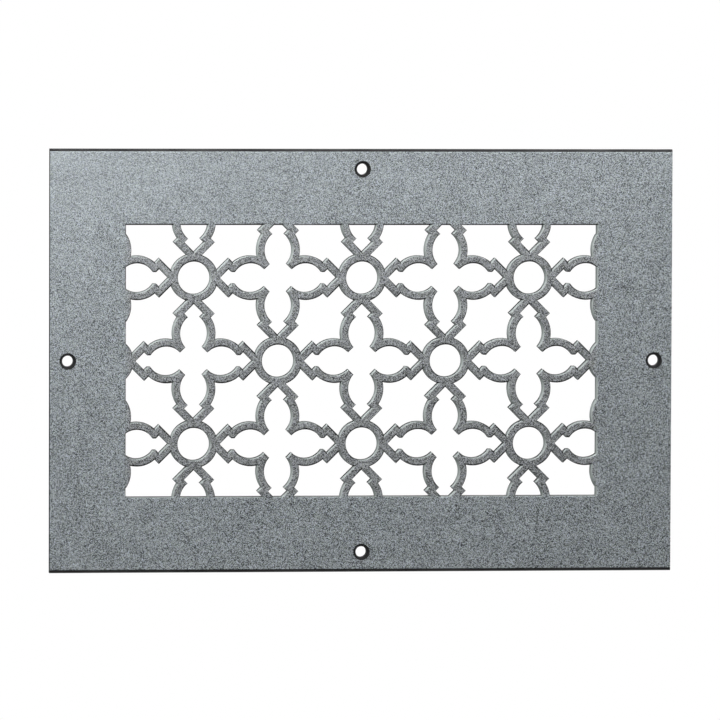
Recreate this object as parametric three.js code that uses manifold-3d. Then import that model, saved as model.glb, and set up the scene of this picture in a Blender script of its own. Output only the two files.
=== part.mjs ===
// Decorative vent cover: one flat plate with a plain border, cut right through in a lattice of
// rings and four-petal openings, with a countersunk screw hole at the middle of each side.
// Millimetres. X runs across the plate and Z up it. The front faces -Y and the wall is at y = 0.
// The origin is on the back face, at the middle of the top border.

import * as THREE from "three";
import { mergeVertices } from "three/addons/utils/BufferGeometryUtils.js";
import Module from "manifold-3d";

// Plate
const plateWidth = 304.8;
const plateHeight = 206.4;
const plateThickness = 6.35;
const borderWidth = 37;

// Screw holes
const screwHoleDiameter = 5.4;
const countersinkDiameter = 8.1;
const countersinkDepth = 1.5;
const screwInsetFromSide = 8.8;
const screwInsetFromTop = 9.8;

// Lattice: rings and four-petal openings take turns on a grid, as on a chessboard
const pitchAcross = 41.1;
const pitchUp = 40.5;
const strandWidth = 3.8;
const ringBoreDiameter = 15.8;

// Two straight bars leave a ring towards each petal, at 45 degrees to the petal's axis
const barOffset = 7.05;
const barRunAcross = 15;
const barRunUp = 15.6;

// Each bar ends in a collar that stands into the petal, and a blunt cusp parts two petals
const collarStandAcross = 3.5;
const collarStandUp = 2.5;
const cuspReach = 7.7;
const cuspHalfWidth = 1.8;

// An arc of this rise runs from each collar to the next cusp
const petalRiseAcross = 4;
const petalRiseUp = 3.15;

// Steps of the round stretches, and how far a cut runs past the faces it goes through
const petalArcSteps = 5;
const ringArcSteps = 4;
const ringBoreSteps = 32;
const screwHoleSteps = 24;
const cutOverrun = 2;

const coatColor = 0x868c91;
const coatRoughness = 0.5;
const coatMetalness = 0.55;

const windowHalfWidth = plateWidth / 2 - borderWidth;
const windowHalfHeight = plateHeight / 2 - borderWidth;
const plateCentreHeight = borderWidth / 2 - plateHeight / 2;
const ringBoreRadius = ringBoreDiameter / 2;
const ringOuterRadius = ringBoreRadius + strandWidth;
const barInnerSide = barOffset + strandWidth / 2;
const barOuterSide = barOffset - strandWidth / 2;
const diagonal = Math.SQRT1_2;

const wasm = await Module();
wasm.setup();

function solidFrom(geometry) {
  geometry.deleteAttribute("normal");
  geometry.deleteAttribute("uv");
  const merged = mergeVertices(geometry);
  const mesh = new wasm.Mesh({
    numProp: 3,
    vertProperties: Float32Array.from(merged.attributes.position.array),
    triVerts: Uint32Array.from(merged.index.array),
  });
  mesh.merge();
  return new wasm.Manifold(mesh);
}

function geometryFrom(solid) {
  const mesh = solid.getMesh();
  const geometry = new THREE.BufferGeometry();
  geometry.setAttribute("position", new THREE.BufferAttribute(mesh.vertProperties, 3));
  geometry.setIndex(new THREE.BufferAttribute(mesh.triVerts, 1));
  geometry.computeVertexNormals();
  return geometry;
}

// A flat outline, drawn about the plate's centre, becomes a prism from nearY back to farY
function prism(shapes, nearY, farY) {
  const geometry = new THREE.ExtrudeGeometry(shapes, { depth: farY - nearY, bevelEnabled: false });
  geometry.rotateX(Math.PI / 2);
  geometry.translate(0, farY, plateCentreHeight);
  return solidFrom(geometry);
}

function rectangle(x0, y0, x1, y1) {
  const corners = [[x0, y0], [x1, y0], [x1, y1], [x0, y1]];
  return corners.map(([x, y]) => new THREE.Vector2(x, y));
}

function arcPoints(circle, from, to, steps) {
  const startAngle = from.clone().sub(circle.centre).angle();
  let turn = to.clone().sub(circle.centre).angle() - startAngle;
  if (turn > Math.PI) {
    turn -= 2 * Math.PI;
  }
  if (turn < -Math.PI) {
    turn += 2 * Math.PI;
  }
  return Array.from({ length: steps + 1 }, (_, step) => {
    const angle = startAngle + (turn * step) / steps;
    const spoke = new THREE.Vector2(Math.cos(angle), Math.sin(angle));
    return spoke.multiplyScalar(circle.radius).add(circle.centre);
  });
}

// The circle whose arc runs from one point to another and rises clear of the chord on its right
function circleOfArc(from, to, rise) {
  const chord = to.clone().sub(from);
  const halfChord = chord.length() / 2;
  const radius = (halfChord ** 2 + rise ** 2) / (2 * rise);
  const outward = new THREE.Vector2(chord.y, -chord.x).normalize();
  const centre = from.clone().lerp(to, 0.5).addScaledVector(outward, rise - radius);
  return { centre, radius };
}

// Where a line first enters a circle
function firstCrossing(start, direction, circle) {
  const offset = start.clone().sub(circle.centre);
  const along = offset.dot(direction);
  const root = Math.sqrt(along * along - offset.lengthSq() + circle.radius * circle.radius);
  return start.clone().addScaledVector(direction, -along - root);
}

// Where two circles cross, the crossing farther out from the opening's centre
function outerCrossing(first, second) {
  const apart = second.centre.clone().sub(first.centre);
  const distance = apart.length();
  const along = (first.radius ** 2 - second.radius ** 2 + distance ** 2) / (2 * distance);
  const across = Math.sqrt(first.radius ** 2 - along ** 2);
  const direction = apart.divideScalar(distance);
  const middle = first.centre.clone().addScaledVector(direction, along);
  const side = new THREE.Vector2(direction.y, -direction.x);
  const crossings = [across, -across].map((step) => middle.clone().addScaledVector(side, step));
  return crossings[0].length() > crossings[1].length() ? crossings[0] : crossings[1];
}

// One side of a petal. The opening's centre is at 0, 0 and the petal points along +X to the ring
// at reach. Run is measured along the 45 degree bar from the ring's centre, side across it.
function petalSide(reach, barRun, collarStand, petalRise) {
  const onBar = (run, side) =>
    new THREE.Vector2(reach - (run + side) * diagonal, (run - side) * diagonal);

  const petalTip = onBar(barInnerSide, barInnerSide);
  const collarTip = onBar(barRun, barInnerSide + collarStand);
  const cuspCorner = new THREE.Vector2(cuspReach + cuspHalfWidth, cuspReach - cuspHalfWidth);
  cuspCorner.multiplyScalar(diagonal);
  const innerArc = circleOfArc(collarTip, cuspCorner, petalRise);
  const outerArc = { centre: innerArc.centre, radius: innerArc.radius + strandWidth };

  const shoulderRun = barRun + strandWidth;
  const ringRun = Math.sqrt(ringOuterRadius ** 2 - barOuterSide ** 2);
  const acrossBar = new THREE.Vector2(-diagonal, -diagonal);
  return {
    outerArc,
    inside: [
      petalTip,
      onBar(barRun, barInnerSide),
      ...arcPoints(innerArc, collarTip, cuspCorner, petalArcSteps),
    ],
    outside: [onBar(ringRun, barOuterSide), onBar(shoulderRun, barOuterSide)],
    notch: firstCrossing(onBar(shoulderRun, 0), acrossBar, outerArc),
  };
}

const swapAxes = (point) => new THREE.Vector2(point.y, point.x);

const petalAcross = petalSide(pitchAcross, barRunAcross, collarStandAcross, petalRiseAcross);
const petalUp = petalSide(pitchUp, barRunUp, collarStandUp, petalRiseUp);

function fourPetalOutline() {
  const quarter = [...petalAcross.inside, ...petalUp.inside.map(swapAxes).reverse()];
  const back = quarter.slice(1, -1).reverse();
  const flip = (points, x, y) => points.map((point) => new THREE.Vector2(point.x * x, point.y * y));
  return [
    ...quarter,
    ...flip(back, -1, 1),
    ...flip(quarter, -1, -1),
    ...flip(back, 1, -1),
  ];
}

// The opening between two rings and two four-petal openings, about its own centre
function starOutline() {
  const upArc = {
    centre: swapAxes(petalUp.outerArc.centre),
    radius: petalUp.outerArc.radius,
  };
  const junction = outerCrossing(petalAcross.outerArc, upArc);
  const half = [
    ...petalAcross.outside,
    ...arcPoints(petalAcross.outerArc, petalAcross.notch, junction, petalArcSteps),
    ...arcPoints(upArc, junction, swapAxes(petalUp.notch), petalArcSteps).slice(1),
    ...petalUp.outside.map(swapAxes).reverse(),
  ];
  const opposite = (point) => new THREE.Vector2(pitchAcross - point.x, pitchUp - point.y);
  const ring = { centre: new THREE.Vector2(0, pitchUp), radius: ringOuterRadius };
  const ringArc = arcPoints(ring, half.at(-1), opposite(half[0]), ringArcSteps).slice(1, -1);
  const side = [...half, ...ringArc];
  const starCentre = new THREE.Vector2(pitchAcross / 2, pitchUp / 2);
  return [...side, ...side.map(opposite)].map((point) => point.sub(starCentre));
}

function ringBoreOutline() {
  return Array.from({ length: ringBoreSteps }, (_, step) => {
    const angle = (2 * Math.PI * step) / ringBoreSteps;
    const spoke = new THREE.Vector2(Math.cos(angle), Math.sin(angle));
    return spoke.multiplyScalar(ringBoreRadius);
  });
}

// The border's edge is straight where a shoulder of the next column would stand out of it
function shoulderRelief(columnX, ringY, towardsX, towardsY) {
  const shoulder = petalUp.outside[1];
  const farX = columnX - towardsX * shoulder.y;
  const notchY = ringY + towardsY * (pitchUp - petalUp.notch.x);
  const ringSideY = ringY + towardsY * ringOuterRadius;
  return rectangle(
    Math.min(columnX, farX),
    Math.min(notchY, ringSideY),
    Math.max(columnX, farX),
    Math.max(notchY, ringSideY),
  );
}

function latticeOutlines() {
  const columns = Math.ceil(windowHalfWidth / pitchAcross);
  const rows = Math.ceil(windowHalfHeight / pitchUp);
  const fourPetal = fourPetalOutline();
  const star = starOutline();
  const mirroredStar = star.map((point) => new THREE.Vector2(-point.x, point.y));
  const ringBore = ringBoreOutline();
  const outlines = [];
  const place = (outline, x, y) => {
    const offset = new THREE.Vector2(x, y);
    outlines.push(outline.map((point) => point.clone().add(offset)));
  };
  for (let column = -columns; column <= columns; column += 1) {
    for (let row = -rows; row <= rows; row += 1) {
      const x = column * pitchAcross;
      const y = row * pitchUp;
      const isRing = (column + row) % 2 !== 0;
      if (!isRing) {
        place(fourPetal, x, y);
      } else if (Math.abs(x) < windowHalfWidth && Math.abs(y) < windowHalfHeight) {
        place(ringBore, x, y);
      }
      if (isRing && Math.abs(column) === columns) {
        const towardsX = Math.sign(column);
        outlines.push(shoulderRelief(x, y, towardsX, 1), shoulderRelief(x, y, towardsX, -1));
      }
      if (column < columns && row < rows) {
        place(isRing ? mirroredStar : star, x + pitchAcross / 2, y + pitchUp / 2);
      }
    }
  }
  return outlines;
}

function latticeOpenings() {
  const nearY = -plateThickness - cutOverrun;
  const window = rectangle(-windowHalfWidth, -windowHalfHeight, windowHalfWidth, windowHalfHeight);
  const cuts = latticeOutlines().map((outline) => prism(new THREE.Shape(outline), nearY, cutOverrun));
  const openings = wasm.Manifold.union(cuts);
  return openings.intersect(prism(new THREE.Shape(window), nearY, cutOverrun));
}

function screwHole(x, y) {
  const holeRadius = screwHoleDiameter / 2;
  const countersinkRadius = countersinkDiameter / 2;
  const profile = [
    [0, -plateThickness - cutOverrun],
    [countersinkRadius, -plateThickness - cutOverrun],
    [countersinkRadius, -plateThickness],
    [holeRadius, countersinkDepth - plateThickness],
    [holeRadius, cutOverrun],
    [0, cutOverrun],
  ];
  const points = profile.map(([radius, height]) => new THREE.Vector2(radius, height));
  const geometry = new THREE.LatheGeometry(points, screwHoleSteps);
  geometry.translate(x, 0, plateCentreHeight + y);
  return solidFrom(geometry);
}

function screwHoles() {
  const sideX = plateWidth / 2 - screwInsetFromSide;
  const topY = plateHeight / 2 - screwInsetFromTop;
  return wasm.Manifold.union([
    screwHole(0, topY),
    screwHole(0, -topY),
    screwHole(-sideX, 0),
    screwHole(sideX, 0),
  ]);
}

function ventCoverPlate() {
  const halfWidth = plateWidth / 2;
  const halfHeight = plateHeight / 2;
  const outline = new THREE.Shape(rectangle(-halfWidth, -halfHeight, halfWidth, halfHeight));
  const plate = prism(outline, -plateThickness, 0)
    .subtract(latticeOpenings())
    .subtract(screwHoles());
  const coat = new THREE.MeshStandardMaterial({
    color: coatColor,
    roughness: coatRoughness,
    metalness: coatMetalness,
  });
  const mesh = new THREE.Mesh(geometryFrom(plate), coat);
  mesh.name = "vent_cover_plate";
  return mesh;
}

const ventCover = new THREE.Group();
ventCover.name = "vent_cover";
ventCover.add(ventCoverPlate());

export default ventCover;
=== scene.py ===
import cmath
from math import ceil, cos, pi, radians, sin, sqrt

import bmesh
import bpy
from mathutils import Matrix, Vector


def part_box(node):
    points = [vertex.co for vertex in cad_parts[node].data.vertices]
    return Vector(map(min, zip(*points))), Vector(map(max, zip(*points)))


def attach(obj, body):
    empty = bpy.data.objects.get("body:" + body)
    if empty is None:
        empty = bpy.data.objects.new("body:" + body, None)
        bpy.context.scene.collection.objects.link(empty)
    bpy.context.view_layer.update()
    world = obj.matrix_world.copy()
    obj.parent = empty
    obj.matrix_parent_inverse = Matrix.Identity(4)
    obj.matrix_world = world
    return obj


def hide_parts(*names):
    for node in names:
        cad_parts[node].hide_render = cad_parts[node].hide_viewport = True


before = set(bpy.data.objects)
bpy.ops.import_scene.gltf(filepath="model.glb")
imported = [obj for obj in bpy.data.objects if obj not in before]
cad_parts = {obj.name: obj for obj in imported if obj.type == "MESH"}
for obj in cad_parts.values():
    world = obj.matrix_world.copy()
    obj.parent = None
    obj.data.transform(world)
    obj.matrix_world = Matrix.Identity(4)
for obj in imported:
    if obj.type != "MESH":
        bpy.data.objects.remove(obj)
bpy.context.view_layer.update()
print("frame loaded:", ", ".join(sorted(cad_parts)))

mm = 0.001
plateLow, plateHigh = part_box("vent_cover_plate")
plateWidth = plateHigh.x - plateLow.x
plateHeight = plateHigh.z - plateLow.z
plateThickness = plateHigh.y - plateLow.y
plateMiddle = (plateLow + plateHigh) / 2


# One output socket. Arithmetic on it adds Math or Vector Math nodes to its tree.
class Wire:
    def __init__(self, maker, socket):
        self.maker = maker
        self.socket = socket

    def isVector(self):
        return self.socket.type in {"VECTOR", "RGBA"}

    def __add__(self, other):
        return self.maker.sums("ADD", self, other)

    def __radd__(self, other):
        return self.maker.sums("ADD", other, self)

    def __sub__(self, other):
        return self.maker.sums("SUBTRACT", self, other)

    def __rsub__(self, other):
        return self.maker.sums("SUBTRACT", other, self)

    def __mul__(self, other):
        return self.maker.sums("MULTIPLY", self, other)

    def __rmul__(self, other):
        return self.maker.sums("MULTIPLY", other, self)

    def __truediv__(self, other):
        return self.maker.sums("DIVIDE", self, other)

    def __gt__(self, other):
        return self.maker.sums("GREATER_THAN", self, other)

    def __lt__(self, other):
        return self.maker.sums("LESS_THAN", self, other)

    def __abs__(self):
        return self.maker.sums("ABSOLUTE", self)


# Adds nodes to one tree: the type, its settings, then the values or links of its sockets
class Maker:
    def __init__(self, tree):
        self.tree = tree
        tree.nodes.clear()

    def node(self, kind, settings=None, sockets=None):
        made = self.tree.nodes.new(kind)
        for name, value in (settings or {}).items():
            setattr(made, name, value)
        for name, value in (sockets or {}).items():
            for one in value if isinstance(value, list) else [value]:
                if isinstance(one, Wire):
                    self.tree.links.new(one.socket, made.inputs[name])
                else:
                    made.inputs[name].default_value = one
        return made

    def wire(self, kind, settings=None, sockets=None, output=0):
        return Wire(self, self.node(kind, settings, sockets).outputs[output])

    def sums(self, operation, *values):
        vector = any(isinstance(value, Wire) and value.isVector() for value in values)
        made = self.tree.nodes.new("ShaderNodeVectorMath" if vector else "ShaderNodeMath")
        made.operation = operation
        for socket, value in zip(made.inputs, values):
            if isinstance(value, Wire):
                self.tree.links.new(value.socket, socket)
            elif vector and isinstance(value, (int, float)):
                socket.default_value = (value, value, value)
            else:
                socket.default_value = value
        return Wire(self, made.outputs["Value" if operation == "DOT_PRODUCT" else 0])


# The lattice's two outlines, in the plate's plane, as complex numbers in millimetres. For the petals
# across and those up, barRun is a bar's length from the ring's centre to the collar, collarStand is
# how far the collar stands off the bar, rise is the height of the petal's arc over its chord, and
# tipCut is how much of the collar's tip is cut flat.
motif = {
    "pitchAcross": 41.1,
    "pitchUp": 40.5,
    "strand": 3.8,
    "ringBore": 15.8,
    "barOffset": 7.05,  # of each 45 degree bar's middle line from the ring's centre
    "across": {"barRun": 15, "collarStand": 3.5, "rise": 4, "tipCut": 1},
    "up": {"barRun": 15.6, "collarStand": 2.5, "rise": 3.15, "tipCut": 0},
    "cuspReach": 7.7,
    "cuspHalfWidth": 1.8,
    "arcStep": 1.2,  # the longest straight stretch of a curve
}
ringOuter = motif["ringBore"] / 2 + motif["strand"]
innerSide = motif["barOffset"] + motif["strand"] / 2
outerSide = motif["barOffset"] - motif["strand"] / 2
diagonal = sqrt(0.5)


def swapAxes(point):
    return complex(point.imag, point.real)


def arcPoints(centre, start, end):
    turn = cmath.phase((end - centre) / (start - centre))
    steps = ceil(abs(turn * (start - centre)) / motif["arcStep"])
    return [centre + (start - centre) * cmath.exp(1j * turn * k / steps) for k in range(steps + 1)]


# One side of a petal, which points along +X from the opening's centre to the ring at reach
def petalSide(reach, barRun, collarStand, rise, tipCut):
    def onBar(run, side):
        return complex(reach - (run + side) * diagonal, (run - side) * diagonal)

    collar = onBar(barRun, innerSide + collarStand)
    cusp = complex(motif["cuspReach"] + motif["cuspHalfWidth"], motif["cuspReach"] - motif["cuspHalfWidth"])
    cusp *= diagonal
    chord = cusp - collar
    radius = (abs(chord / 2) ** 2 + rise ** 2) / (2 * rise)
    centre = (collar + cusp) / 2 - 1j * chord / abs(chord) * (rise - radius)
    outer = radius + motif["strand"]

    flat = collar.imag + tipCut
    flatStart = collar + complex(tipCut, tipCut)
    arcStart = centre + complex(sqrt(radius ** 2 - (flat - centre.imag) ** 2), flat - centre.imag)
    inside = [onBar(innerSide, innerSide), onBar(barRun, innerSide)]
    if tipCut:
        inside.append(flatStart)
    inside.extend(arcPoints(centre, arcStart, cusp))

    shoulderRun = barRun + motif["strand"]
    towardsPetal = complex(-diagonal, -diagonal)
    offset = onBar(shoulderRun, 0) - centre
    along = (offset * towardsPetal.conjugate()).real
    reachNotch = -along - sqrt(along ** 2 - abs(offset) ** 2 + outer ** 2)
    return {
        "centre": centre,
        "outer": outer,
        "inside": inside,
        "outside": [onBar(sqrt(ringOuter ** 2 - outerSide ** 2), outerSide), onBar(shoulderRun, outerSide)],
        "notch": onBar(shoulderRun, 0) + towardsPetal * reachNotch,
    }


petalAcross = petalSide(motif["pitchAcross"], **motif["across"])
petalUp = petalSide(motif["pitchUp"], **motif["up"])


def fourPetalOutline():
    quarter = petalAcross["inside"] + [swapAxes(point) for point in reversed(petalUp["inside"])]
    back = quarter[-2:0:-1]
    return [
        *quarter,
        *[-point.conjugate() for point in back],
        *[-point for point in quarter],
        *[point.conjugate() for point in back],
    ]


# The opening between two rings and two four-petal openings
def starOutline():
    across, up = petalAcross["centre"], swapAxes(petalUp["centre"])
    apart = up - across
    distance = abs(apart)
    along = (petalAcross["outer"] ** 2 - petalUp["outer"] ** 2 + distance ** 2) / (2 * distance)
    beside = sqrt(petalAcross["outer"] ** 2 - along ** 2)
    crossings = [across + apart / distance * complex(along, side) for side in (beside, -beside)]
    junction = max(crossings, key=abs)
    half = [
        *petalAcross["outside"],
        *arcPoints(across, petalAcross["notch"], junction),
        *arcPoints(up, junction, swapAxes(petalUp["notch"]))[1:],
        *[swapAxes(point) for point in reversed(petalUp["outside"])],
    ]
    corner = complex(motif["pitchAcross"], motif["pitchUp"])
    ring = arcPoints(1j * motif["pitchUp"], half[-1], corner - half[0])[1:-1]
    side = half + ring
    return [point - corner / 2 for point in side + [corner - point for point in side]]


# The border's edge is straight where a shoulder of the outermost column would stand out of it
def shoulderRelief():
    shoulder = petalUp["outside"][1].imag
    notch = motif["pitchUp"] - petalUp["notch"].real
    return [complex(0, notch), complex(shoulder, notch), complex(shoulder, ringOuter), complex(0, ringOuter)]


def outlineObject(name, points):
    mesh = bpy.data.meshes.new(name)
    places = [(point.real * mm, point.imag * mm, 0) for point in points]
    edges = [(k, (k + 1) % len(points)) for k in range(len(points))]
    mesh.from_pydata(places, edges, [])
    made = bpy.data.objects.new(name, mesh)
    bpy.context.scene.collection.objects.link(made)
    return made


# The plate's tree: it works flat, with x across, y up and z out of the front, then stands up
plate = {
    "Plate Width": plateWidth,
    "Plate Height": plateHeight,
    "Thickness": plateThickness,
    "Border": 37 * mm,
    "Pitch Across": motif["pitchAcross"] * mm,
    "Pitch Up": motif["pitchUp"] * mm,
    "Ring Bore": motif["ringBore"] * mm,
    "Long Edge": 1.9 * mm,  # how far the front is rounded off along the top and bottom
    "Short Edge": 0.12 * mm,  # at the left and right
    "Opening Edge": 1.1 * mm,  # around the openings
    "Upright Share": 0.75,  # of that where they face up or down
    "Sharp Edge": 0.3 * mm,  # and where they face right
    "Back Edge": 0.2 * mm,
    "Screw Hole": 5.4 * mm,
    "Countersink": 8.1 * mm,
    "Countersink Depth": 1.5 * mm,
    "Screw From Side": 8.8 * mm,
    "Screw From Top": 9.8 * mm,
    "Spray Across": -0.85,  # the upper left, where the main lamps stand, as a direction in the plate's plane: cut walls facing it get the coat's pale colour as partly painted highlight, the others black as partly painted shade
    "Spray Up": 0.53,
}
roundingSteps = 6
boreSteps = 56
screwSteps = 48
screwCount = 4
sharpAngle = 40  # degrees, past which two faces meet in a sharp edge
weldDistance = 0.002 * mm
overrun = 2 * mm


class PlateTree(Maker):
    def __init__(self, name, sizes, objects):
        super().__init__(bpy.data.node_groups.new(name, "GeometryNodeTree"))
        face = self.tree.interface
        face.new_socket("Geometry", in_out="OUTPUT", socket_type="NodeSocketGeometry")
        self.identifiers = {}
        kinds = dict.fromkeys(sizes, "NodeSocketFloat") | dict.fromkeys(objects, "NodeSocketObject")
        for given, kind in (kinds | {"Finish": "NodeSocketMaterial"}).items():
            socket = face.new_socket(given, in_out="INPUT", socket_type=kind)
            self.identifiers[given] = socket.identifier
        self.given = self.node("NodeGroupInput")

    def size(self, name):
        return Wire(self, self.given.outputs[name])

    def inBorders(self, name):
        return self.size(name) - self.size("Border") * 2

    def combine(self, x=0.0, y=0.0, z=0.0):
        return self.wire("ShaderNodeCombineXYZ", None, {"X": x, "Y": y, "Z": z})

    def position(self):
        return self.wire("GeometryNodeInputPosition")

    def axis(self, vector, name):
        return self.wire("ShaderNodeSeparateXYZ", None, {"Vector": vector}, name)

    def shift(self, geometry, offset):
        return self.wire("GeometryNodeSetPosition", None, {"Geometry": geometry, "Offset": offset})

    def join(self, *geometries):
        return self.wire("GeometryNodeJoinGeometry", None, {"Geometry": list(geometries)})

    def weld(self, geometry):
        return self.wire("GeometryNodeMergeByDistance", None,
                         {"Geometry": geometry, "Distance": weldDistance})

    def capture(self, geometry, value, domain):
        made = self.node("GeometryNodeCaptureAttribute", {"domain": domain}, {"Geometry": geometry})
        made.capture_items.new("VECTOR", "Value")
        self.tree.links.new(value.socket, made.inputs[1])
        return Wire(self, made.outputs[0]), Wire(self, made.outputs[1])

    def label(self, geometry, name, value):
        return self.wire("GeometryNodeStoreNamedAttribute", {"data_type": "FLOAT", "domain": "FACE"},
                         {"Geometry": geometry, "Name": name, "Value": value})

    def both(self, first, second):
        return self.wire("FunctionNodeBooleanMath", {"operation": "AND"}, {0: first, 1: second})

    # Outlines as edges become one closed prism from z = 0 up to the height
    def prism(self, edges, height):
        curves = self.wire("GeometryNodeMeshToCurve", None, {"Mesh": edges})
        floor = self.wire("GeometryNodeFillCurve", {"mode": "NGONS"}, {"Curve": curves})
        raised = self.wire("GeometryNodeExtrudeMesh", {"mode": "FACES"},
                           {"Mesh": floor, "Offset Scale": height, "Individual": False})
        under = self.wire("GeometryNodeFlipFaces", None, {"Mesh": floor})
        return self.weld(self.join(raised, under))

    # Closed edge loops are drawn out through a list of places, which leaves a wall
    def wall(self, edges, places):
        mesh = self.wire("GeometryNodeSetPosition", None, {"Geometry": edges, "Position": places[0]})
        top = None
        for place in places[1:]:
            sockets = {"Mesh": mesh, "Offset Scale": 0.0}
            if top:
                sockets["Selection"] = top
            drawn = self.node("GeometryNodeExtrudeMesh", {"mode": "EDGES"}, sockets)
            mesh, top = Wire(self, drawn.outputs["Mesh"]), Wire(self, drawn.outputs["Top"])
            mesh = self.wire("GeometryNodeSetPosition", None,
                             {"Geometry": mesh, "Selection": top, "Position": place})
        return mesh

    def instances(self, points, shape, selection=None, scale=None):
        sockets = {"Points": points, "Instance": shape}
        if selection:
            sockets["Selection"] = selection
        if scale:
            sockets["Scale"] = scale
        made = self.wire("GeometryNodeInstanceOnPoints", None, sockets)
        return self.wire("GeometryNodeRealizeInstances", None, {"Geometry": made})

    def shape(self, name):
        return self.wire("GeometryNodeObjectInfo", None, {"Object": self.size(name)}, "Geometry")

    # Grid points of the lattice, and whether each of them is a ring's, as on a chessboard
    def lattice(self, columns, rows, firstIsRing):
        grid = self.wire("GeometryNodeMeshGrid", None, {
            "Size X": self.size("Pitch Across") * (columns - 1),
            "Size Y": self.size("Pitch Up") * (rows - 1),
            "Vertices X": columns,
            "Vertices Y": rows,
        })
        steps = self.wire("GeometryNodeInputIndex")
        column = self.sums("FLOOR", (steps + 0.5) / rows)
        parity = self.sums("FLOORED_MODULO", steps - column * rows + column + firstIsRing, 2)
        return grid, parity > 0.5


# Prisms of all openings: four petals and ring bores on the grid, stars between them
def latticeCutters(tree, columns, rows):
    windowWidth = tree.inBorders("Plate Width")
    fromMiddle = tree.axis(tree.position(), "X")
    grid, isRing = tree.lattice(2 * columns + 1, 2 * rows + 1, (columns + rows) % 2)
    petals = tree.instances(grid, tree.shape("Four Petals"), 1 - isRing)
    bore = tree.wire("GeometryNodeMeshCircle", None,
                     {"Vertices": boreSteps, "Radius": tree.size("Ring Bore") / 2})
    bores = tree.instances(grid, bore, tree.both(isRing, abs(fromMiddle) < windowWidth / 2))
    between, mirrored = tree.lattice(2 * columns, 2 * rows, (columns + rows) % 2)
    stars = tree.instances(between, tree.shape("Star"), None, tree.combine(1 - mirrored * 2, 1.0, 1.0))
    ringAtSide = tree.both(isRing, abs(fromMiddle) > windowWidth / 2)
    reliefs = []
    for upwards in (1.0, -1.0):
        facing = tree.combine(-1 * tree.sums("SIGN", fromMiddle), upwards, 1.0)
        reliefs.append(tree.instances(grid, tree.shape("Relief"), ringAtSide, facing))
    full = tree.size("Thickness") + 2 * overrun
    outlines = (tree.join(petals, bores, stars), *reliefs)
    cutters = tree.join(*[tree.prism(edges, full) for edges in outlines])
    return tree.shift(cutters, (0, 0, -overrun))


# The plate, with only what lies in the window cut out of it
def piercedBlock(tree, cutters):
    windowWidth, windowHeight = tree.inBorders("Plate Width"), tree.inBorders("Plate Height")
    height = tree.size("Thickness")
    window = tree.wire("GeometryNodeMeshCube", None,
                       {"Size": tree.combine(windowWidth, windowHeight, (height + 2 * overrun) * 2)})
    inside = tree.wire("GeometryNodeMeshBoolean", {"operation": "INTERSECT", "solver": "EXACT"},
                       {"Mesh 2": [cutters, window], "Self Intersection": True})
    block = tree.wire("GeometryNodeMeshCube", None,
                      {"Size": tree.combine(tree.size("Plate Width"), tree.size("Plate Height"), height)})
    block = tree.shift(block, tree.combine(0.0, 0.0, height / 2))
    return tree.weld(tree.wire("GeometryNodeMeshBoolean", {"operation": "DIFFERENCE", "solver": "EXACT"},
                               {"Mesh 1": block, "Mesh 2": inside}))


# The front rim of each cut wall, with the place of each of its corners and the way that points
# out of the solid there
def frontRim(tree, cut):
    normal = tree.wire("GeometryNodeInputNormal")
    place = tree.position()
    walls = tree.wire("GeometryNodeDeleteGeometry", {"domain": "FACE", "mode": "ALL"},
                      {"Geometry": cut, "Selection": abs(tree.axis(normal, "Z")) > 0.5})
    walls, faceNormal = tree.capture(walls, normal, "FACE")
    walls, edgeNormal = tree.capture(walls, faceNormal, "EDGE")
    atFront = tree.axis(place, "Z") > tree.size("Thickness") - weldDistance
    rim = tree.wire("GeometryNodeSeparateGeometry", {"domain": "EDGE"},
                    {"Geometry": walls, "Selection": atFront})
    rim, corner = tree.capture(rim, place, "POINT")
    mitre = edgeNormal / tree.sums("DOT_PRODUCT", edgeNormal, edgeNormal)
    rim, mitre = tree.capture(rim, mitre, "POINT")
    return rim, corner, mitre


# Where the rim is drawn through on its way to the back. It is rounded off at the front, but stays
# sharper where it faces right.
def wallPlaces(tree, corner, mitre):
    height = tree.size("Thickness")
    flat = tree.sums("MULTIPLY", corner, (1, 1, 0))

    def edgePlace(inwards, z):
        return flat - mitre * inwards + tree.combine(0.0, 0.0, z)

    way = tree.sums("NORMALIZE", mitre)
    upright = abs(tree.axis(way, "Y")) * tree.size("Upright Share")
    rounded = tree.sums("MAXIMUM", -1 * tree.axis(way, "X"), upright)
    sharp = tree.size("Sharp Edge")
    opening = sharp + rounded * (tree.size("Opening Edge") - sharp)
    atShort = abs(tree.axis(corner, "X")) > tree.size("Plate Width") / 2 - weldDistance
    atLong = abs(tree.axis(corner, "Y")) > tree.size("Plate Height") / 2 - weldDistance
    across = opening + atShort * (tree.size("Short Edge") - opening)
    deep = opening + atLong * (tree.size("Long Edge") - opening)
    rounding = tree.combine(across, deep)
    places = []
    for k in range(roundingSteps + 1):
        angle = pi / 2 * k / roundingSteps
        places.append(edgePlace(rounding * (1 - sin(angle)), height - deep * (1 - cos(angle))))
    places.append(edgePlace(0.0, tree.size("Back Edge")))
    places.append(edgePlace(tree.size("Back Edge"), 0.0))
    return places


# Writes on each cut wall how squarely it faces the lamps' side at the upper left, and the left; the coat
# paints light and shade on the walls from these
def labelWalls(tree, walls, mitre):
    normal = tree.wire("GeometryNodeInputNormal")
    sideways = tree.sums("NORMALIZE", tree.sums("MULTIPLY", normal, (1, 1, 0)))
    outwards = tree.sums("SIGN", tree.sums("DOT_PRODUCT", normal, mitre))
    lampSide = tree.combine(tree.size("Spray Across"), tree.size("Spray Up"))
    facing = tree.sums("MAXIMUM", tree.sums("DOT_PRODUCT", sideways, lampSide) * outwards, 0.0)
    facingLeft = tree.sums("MAXIMUM", -1 * outwards * tree.axis(sideways, "X"), 0.0)
    return tree.label(tree.label(walls, "facingSpray", facing), "facingLeft", facingLeft)


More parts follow.
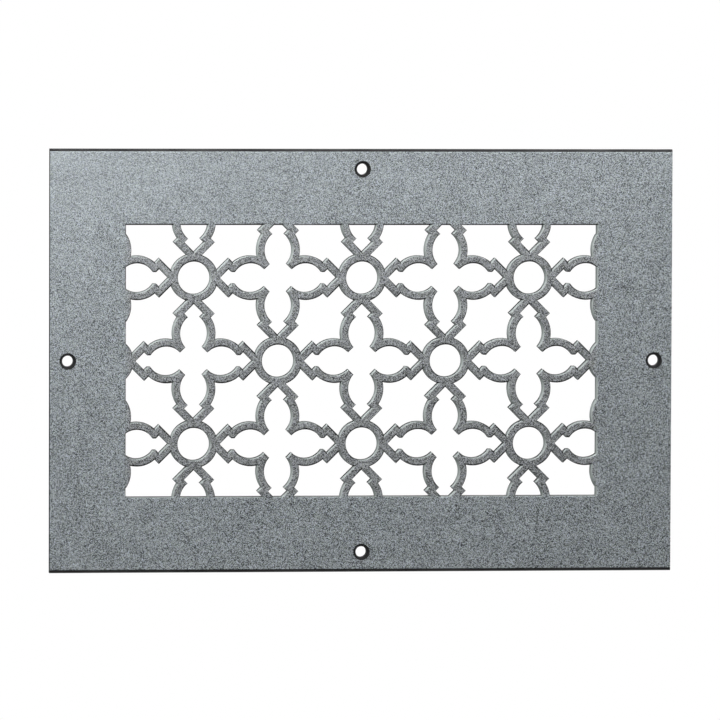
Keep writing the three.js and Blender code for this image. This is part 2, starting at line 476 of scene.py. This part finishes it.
# The screw holes' places, a circle of radius 1, and the rings that it is drawn through to make one
# hole with its countersink
def screwHoles(tree):
    height = tree.size("Thickness")
    circle = tree.wire("GeometryNodeMeshCircle", None, {"Vertices": screwSteps, "Radius": 1.0})
    circle, spoke = tree.capture(circle, tree.position(), "POINT")
    wide, narrow = tree.size("Countersink") / 2, tree.size("Screw Hole") / 2
    profile = [(wide, height), (narrow, height - tree.size("Countersink Depth")), (narrow, 0.0)]
    rings = [spoke * radius + tree.combine(0.0, 0.0, z) for radius, z in profile]
    turn = tree.wire("GeometryNodeInputIndex") * (2 * pi / screwCount)
    across = tree.sums("COSINE", turn) * (tree.size("Plate Width") / 2 - tree.size("Screw From Side"))
    up = tree.sums("SINE", turn) * (tree.size("Plate Height") / 2 - tree.size("Screw From Top"))
    spots = tree.wire("GeometryNodePoints", None,
                      {"Count": screwCount, "Position": tree.combine(across, up)})
    return spots, circle, rings


def buildPlateTree(columns, rows):
    tree = PlateTree("ventLattice", plate, ("Four Petals", "Star", "Relief"))
    cut = piercedBlock(tree, latticeCutters(tree, columns, rows))
    rim, corner, mitre = frontRim(tree, cut)
    places = wallPlaces(tree, corner, mitre)
    cutWalls = labelWalls(tree, tree.wall(rim, places), mitre)
    spots, circle, rings = screwHoles(tree)
    screwWalls = tree.label(tree.instances(spots, tree.wall(circle, rings)), "bareCore", 1.0)

    # Front and back, filled between the walls' own edges
    faces = []
    for edgeRing, screwRing, z, flip in ((places[0], rings[0], tree.size("Thickness"), False),
                                         (places[-1], rings[-1], 0.0, True)):
        screws = tree.instances(spots, tree.wall(circle, [screwRing]))
        loops = tree.join(tree.wall(rim, [edgeRing]), screws)
        loops = tree.wire("GeometryNodeMeshToCurve", None, {"Mesh": loops})
        filled = tree.wire("GeometryNodeFillCurve", {"mode": "TRIANGLES"}, {"Curve": loops})
        filled = tree.shift(filled, tree.combine(0.0, 0.0, z))
        faces.append(tree.wire("GeometryNodeFlipFaces", None, {"Mesh": filled}) if flip else filled)
    solid = tree.weld(tree.join(*faces, cutWalls, screwWalls))
    stood = tree.wire("GeometryNodeTransform", None, {
        "Geometry": solid,
        "Rotation": (pi / 2, 0, 0),
        "Translation": (plateMiddle.x, plateHigh.y, plateMiddle.z),
    })
    real = tree.wire("GeometryNodeRealizeInstances", None, {"Geometry": stood})
    finished = tree.wire("GeometryNodeSetMaterial", None,
                         {"Geometry": real, "Material": tree.size("Finish")})
    tree.node("NodeGroupOutput", None, {"Geometry": finished})
    return tree


def makePlate(finish):
    border = plate["Border"]
    columns = ceil((plateWidth / 2 - border) / plate["Pitch Across"])
    rows = ceil((plateHeight / 2 - border) / plate["Pitch Up"])
    tree = buildPlateTree(columns, rows)
    outlines = {
        "Four Petals": outlineObject("fourPetals", fourPetalOutline()),
        "Star": outlineObject("star", starOutline()),
        "Relief": outlineObject("relief", shoulderRelief()),
    }
    blank = bpy.data.objects.new("blank", bpy.data.meshes.new("blank"))
    bpy.context.scene.collection.objects.link(blank)
    modifier = blank.modifiers.new("ventLattice", "NODES")
    modifier.node_group = tree.tree
    for name, value in (plate | outlines | {"Finish": finish}).items():
        modifier[tree.identifiers[name]] = value
    bpy.context.view_layer.update()
    evaluated = blank.evaluated_get(bpy.context.evaluated_depsgraph_get())
    mesh = bpy.data.meshes.new_from_object(evaluated)
    for spare in (blank, *outlines.values()):
        bpy.data.objects.remove(spare)

    shell = bmesh.new()
    shell.from_mesh(mesh)
    openEdges = [edge for edge in shell.edges if len(edge.link_faces) != 2]
    bmesh.ops.recalc_face_normals(shell, faces=shell.faces)
    shell.to_mesh(mesh)
    print("plate:", len(shell.faces), "faces,", len(openEdges), "open edges, volume",
          round(shell.calc_volume() / mm ** 3), "cubic mm")
    shell.free()
    mesh.name = "ventCoverPlate"
    mesh.polygons.foreach_set("use_smooth", [True] * len(mesh.polygons))
    mesh.set_sharp_from_angle(angle=radians(sharpAngle))
    piece = bpy.data.objects.new("sprayedPlate", mesh)
    bpy.context.scene.collection.objects.link(piece)
    even = piece.modifiers.new("evenNormals", "WEIGHTED_NORMAL")
    even.keep_sharp = True
    return piece


# The coat: fine metallic grain on the face, over a black core that shows on the back. On the cut walls it
# follows the lamps at the upper left: walls facing that way get it pale, deepest where they face left,
# partly as painted highlight, and the others stay black, partly as painted shade. A black band edges the
# front.
coat = {
    "coolFlake": (0.66, 0.71, 0.84, 1),
    "warmFlake": (0.69, 0.77, 0.71, 1),
    "deep": (0.03, 0.034, 0.036, 1),
    "latticeTint": (0.89, 0.85, 0.835, 1),  # the lattice is a little darker and less blue
    "latticeFade": (-1 * mm, 2 * mm),  # from the window's edge inwards
    # the walls' pale smooth colour, partly painted highlight where they face the lamps
    "wall": (0.48, 0.53, 0.52, 1),
    # its darker copy, painted shade on walls that face the lamps less squarely
    "shadedWall": (0.16, 0.18, 0.175, 1),
    "wallFade": (0.03 * mm, 0.2 * mm),  # the depth where the grain gives way to the wall's colour
    "wallFacing": (0.05, 0.4),  # and how squarely the wall has to face the lamps' side for that
    "fullWallFacing": (0.35, 0.95),  # from the painted-shade copy to the pale wall colour
    "core": (0.010, 0.010, 0.011, 1),
    "scuffedCore": (0.022, 0.022, 0.023, 1),
    "flake": 0.28 * mm,
    "fineGrain": 0.21 * mm,
    "mottle": 9 * mm,
    "grainShares": (0.45, 0.9, 0.1),  # of the flakes, the fine grain and the mottle
    "grainContrast": 3.8,
    "paintedGlintAcross": 1.3,  # how much more contrast the grain is painted with a metre away across: painted glints and shade of the more grazing light there
    "paintedGlintDown": 4.8,  # and down
    "grainDepth": 0.15 * mm,
    "grainStrength": 0.8,
    "metal": 0.45,
    "roughness": 0.72,
    "specular": 0.25,
    "flakeGloss": 0.26,  # how much smoother a flake is
    "scuff": 14 * mm,  # the bare core's cloudy patches
    "scuffRange": (0.35, 0.7),
    "scuffGloss": 0.2,
    "coreTexture": 0.6,  # the height of the core's own grain, as a share of the coat's
    "cover": 1.4 * mm,  # how deep the coat reaches on a wall that faces the lamps' side; deeper down the black core shows, partly as painted shade
    "deepCover": 5.8 * mm,  # how much deeper where it faces left
    "deepFalloff": 5,  # how fast that ends away from the left
    "edgeCover": 0.015 * mm,  # and on every wall
    "ragged": 0.5 * mm,  # how unevenly it ends
    "bareFade": 0.04 * mm,  # the depth over which it gives way to the core
    "blackBandTop": 1.25 * mm,  # the width of a black band along the front's outer edge, here at the top
    "blackBandBottom": 1.45 * mm,
    "blackBandLeft": 0.1 * mm,
    "speck": (4.6 * mm, 0, 84.9 * mm),  # a pinhole in the coat, from the plate's middle
    "speckRadius": 0.35 * mm,
}


class CoatTree(Maker):
    def __init__(self, material):
        super().__init__(material.node_tree)
        self.place = self.wire("ShaderNodeTexCoord", None, None, "Object")
        # Across and up from the plate's middle, and how far under the face
        self.fromMiddle = self.place - plateMiddle
        parts = self.node("ShaderNodeSeparateXYZ", None, {"Vector": self.fromMiddle})
        self.across, self.up = Wire(self, parts.outputs["X"]), Wire(self, parts.outputs["Z"])
        self.depth = Wire(self, parts.outputs["Y"]) + plateThickness / 2

    def noise(self, size, detail):
        return self.wire("ShaderNodeTexNoise", None,
                         {"Vector": self.place, "Scale": 1 / size, "Detail": detail})

    def clamped(self, value, low, high):
        return self.wire("ShaderNodeMapRange", None, {"Value": value, "From Min": low, "From Max": high})

    def mixed(self, factor, first, second, blend="MIX"):
        settings = {"data_type": "RGBA", "blend_type": blend}
        return self.wire("ShaderNodeMix", settings, {0: factor, 6: first, 7: second}, 2)

    def most(self, *values):
        top = values[0]
        for value in values[1:]:
            top = self.sums("MAXIMUM", top, value)
        return top

    def attribute(self, name):
        return self.wire("ShaderNodeAttribute", {"attribute_name": name}, None, "Fac")


# The face's grain, from 0 where it is dark to 1 where it is pale, and its colour
def sprayedFace(maker, fine):
    across, up = maker.across, maker.up
    sockets = {"Vector": maker.place, "Scale": 1 / coat["flake"]}
    flakes = maker.wire("ShaderNodeTexVoronoi", None, sockets, "Color")
    flake = maker.node("ShaderNodeSeparateColor", None, {"Color": flakes})
    mottle = maker.noise(coat["mottle"], detail=2.0)
    flakeShare, fineShare, mottleShare = coat["grainShares"]
    uneven = Wire(maker, flake.outputs["Red"]) * flakeShare + fine * fineShare + mottle * mottleShare
    uneven = uneven - sum(coat["grainShares"]) / 2
    # The grain's contrast grows to the right and down: painted glints and shade standing in for the lamps'
    # light falling more grazing there.
    contrast = coat["grainContrast"] * (1 + across * coat["paintedGlintAcross"] - up * coat["paintedGlintDown"])
    grain = maker.clamped(uneven * contrast, -0.5, 0.5)
    pale = maker.mixed(Wire(maker, flake.outputs["Green"]), coat["coolFlake"], coat["warmFlake"])
    face = maker.mixed(grain, coat["deep"], pale)

    windowWidth = plateWidth - 2 * plate["Border"]
    windowHeight = plateHeight - 2 * plate["Border"]
    inWindow = maker.sums("MINIMUM", windowWidth / 2 - abs(across), windowHeight / 2 - abs(up))
    onLattice = maker.clamped(inWindow, *coat["latticeFade"])
    return grain, maker.mixed(onLattice, face, coat["latticeTint"], "MULTIPLY")


# From 0 where the coat covers to 1 where the colour is black: the bare core in the countersinks and a
# pinhole, a black band along the outer edges, and on cut walls facing away from the lamps the black core as
# partly painted shade
def bareAndShadedParts(maker, fine, facing):
    across, up = maker.across, maker.up
    deeper = maker.sums("POWER", maker.attribute("facingLeft"), coat["deepFalloff"]) * coat["deepCover"]
    reach = facing * (coat["cover"] + (fine - 0.5) * coat["ragged"]) + deeper + coat["edgeCover"]
    bareAndShadedWall = maker.clamped(maker.depth - reach, 0, coat["bareFade"])
    blackBand = maker.most(
        up > plateHeight / 2 - coat["blackBandTop"],
        up < coat["blackBandBottom"] - plateHeight / 2,
        across < coat["blackBandLeft"] - plateWidth / 2,
    )
    fromSpeck = maker.sums("SUBTRACT", maker.fromMiddle, coat["speck"])
    fromSpeck = maker.sums("MULTIPLY", fromSpeck, (1, 0, 1))
    speck = maker.sums("DOT_PRODUCT", fromSpeck, fromSpeck) < coat["speckRadius"] ** 2
    return maker.most(bareAndShadedWall, blackBand, speck, maker.attribute("bareCore"))


def texturedCoat():
    material = bpy.data.materials.new("texturedCoat")
    material.use_nodes = True
    maker = CoatTree(material)
    fine = maker.noise(coat["fineGrain"], detail=1.0)
    facing = maker.attribute("facingSpray")
    grain, face = sprayedFace(maker, fine)
    bareAndShaded = bareAndShadedParts(maker, fine, facing)

    # Cut walls and roundings that face the lamps at the upper left take the pale smooth wall colour, partly
    # painted highlight; those facing them less squarely take its darker copy, painted shade.
    onWall = maker.clamped(maker.depth, *coat["wallFade"]) * maker.clamped(facing, *coat["wallFacing"])
    wall = maker.mixed(maker.clamped(facing, *coat["fullWallFacing"]), coat["shadedWall"], coat["wall"])
    scuffs = maker.clamped(maker.noise(coat["scuff"], detail=5.0), *coat["scuffRange"])
    core = maker.mixed(scuffs, coat["core"], coat["scuffedCore"])
    rough = (1 - onWall) * (1 - bareAndShaded)
    gloss = grain * rough * coat["flakeGloss"] + scuffs * bareAndShaded * coat["scuffGloss"]
    bump = maker.wire("ShaderNodeBump", None, {
        "Height": grain * rough + fine * bareAndShaded * coat["coreTexture"],
        "Strength": coat["grainStrength"],
        "Distance": coat["grainDepth"],
    })
    shader = maker.wire("ShaderNodeBsdfPrincipled", None, {
        "Base Color": maker.mixed(bareAndShaded, maker.mixed(onWall, face, wall), core),
        "Metallic": rough * coat["metal"],
        "Roughness": coat["roughness"] - gloss,
        "Specular IOR Level": coat["specular"],
        "Normal": bump,
    })
    maker.node("ShaderNodeOutputMaterial", None, {"Surface": shader})
    return material


coatMaterial = texturedCoat()
sprayedPlate = makePlate(coatMaterial)
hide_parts("vent_cover_plate")
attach(sprayedPlate, "root")
print("plate placed")


# Studio: a white surround, a pale floor well below, soft lamps on the left, overhead and behind,
# and small ones near the plate's upper corners
studio = {
    "floorDrop": 0.35,
    "floorRadius": 1.1,
    "floorSides": 128,
    "floorColour": (0.85, 0.85, 0.84, 1),
    "floorRoughness": 0.8,
    "cameraDistance": 3.5,
    "cameraLeft": 6.0,
    "cameraUp": 3.0,
    "cameraRoll": 0.208,
    "lens": 358.37,
    "sensor": 36,
    "aimAside": -0.35 * mm,
    "aimUp": 0.09 * mm,
    "surround": 0.04,
}
lamps = {  # place from the plate's middle, size and power in watts
    "cornerLamp": {"place": (-0.22, -0.15, 0.22), "size": 0.2, "watts": 0.6},
    "rightLamp": {"place": (0.25, -0.3, 0.4), "size": 0.2, "watts": 2.1},
    "leftLamp": {"place": (-1.6, -0.3, 0.2), "size": 1.0, "watts": 8.2},
    "overheadLamp": {"place": (0, 0.2, 2.1), "size": 2.0, "watts": 41},
    "backLamp": {"place": (0.7, 1.6, 0.5), "size": 1.2, "watts": 14},
}


def makeFloor():
    mesh = bpy.data.meshes.new("floor")
    disc = bmesh.new()
    bmesh.ops.create_circle(disc, cap_ends=True, segments=studio["floorSides"], radius=studio["floorRadius"])
    disc.to_mesh(mesh)
    disc.free()
    mesh.transform(Matrix.Translation((0, 0, plateLow.z - studio["floorDrop"])))
    floor = bpy.data.objects.new("floor", mesh)
    bpy.context.scene.collection.objects.link(floor)
    material = bpy.data.materials.new("paleFloor")
    material.use_nodes = True
    maker = Maker(material.node_tree)
    shader = maker.wire("ShaderNodeBsdfPrincipled", None,
                        {"Base Color": studio["floorColour"], "Roughness": studio["floorRoughness"]})
    maker.node("ShaderNodeOutputMaterial", None, {"Surface": shader})
    mesh.materials.append(material)


def makeSurround():
    world = bpy.data.worlds.new("surround")
    world.use_nodes = True
    bpy.context.scene.world = world
    maker = Maker(world.node_tree)
    seen = maker.wire("ShaderNodeLightPath", None, None, "Is Camera Ray")
    strength = seen * (1 - studio["surround"]) + studio["surround"]
    background = maker.wire("ShaderNodeBackground", None, {"Color": (1, 1, 1, 1), "Strength": strength})
    maker.node("ShaderNodeOutputWorld", None, {"Surface": background})


def makeLamp(name, place, size, watts):
    light = bpy.data.lights.new(name, "AREA")
    light.shape = "SQUARE"
    light.size = size
    light.energy = watts
    lamp = bpy.data.objects.new(name, light)
    lamp.location = plateMiddle + Vector(place)
    lamp.rotation_euler = (-Vector(place)).to_track_quat("-Z", "Y").to_euler()
    lamp.visible_camera = False
    bpy.context.scene.collection.objects.link(lamp)


def makeCamera():
    data = bpy.data.cameras.new("camera")
    data.lens = studio["lens"]
    data.sensor_width = studio["sensor"]
    camera = bpy.data.objects.new("camera", data)
    left, up = radians(studio["cameraLeft"]), radians(studio["cameraUp"])
    back = Vector((-sin(left) * cos(up), -cos(left) * cos(up), sin(up)))
    aim = Vector((studio["aimAside"], plateHigh.y, plateMiddle.z + studio["aimUp"]))
    camera.location = aim + back * studio["cameraDistance"]
    turn = (-back).to_track_quat("-Z", "Y")
    roll = Matrix.Rotation(radians(studio["cameraRoll"]), 3, "Z").to_quaternion()
    camera.rotation_euler = (turn @ roll).to_euler()
    bpy.context.scene.collection.objects.link(camera)
    bpy.context.scene.camera = camera


makeFloor()
makeSurround()
for name, lamp in lamps.items():
    makeLamp(name, **lamp)
makeCamera()
bpy.context.scene.view_settings.view_transform = "Standard"
print("studio ready")
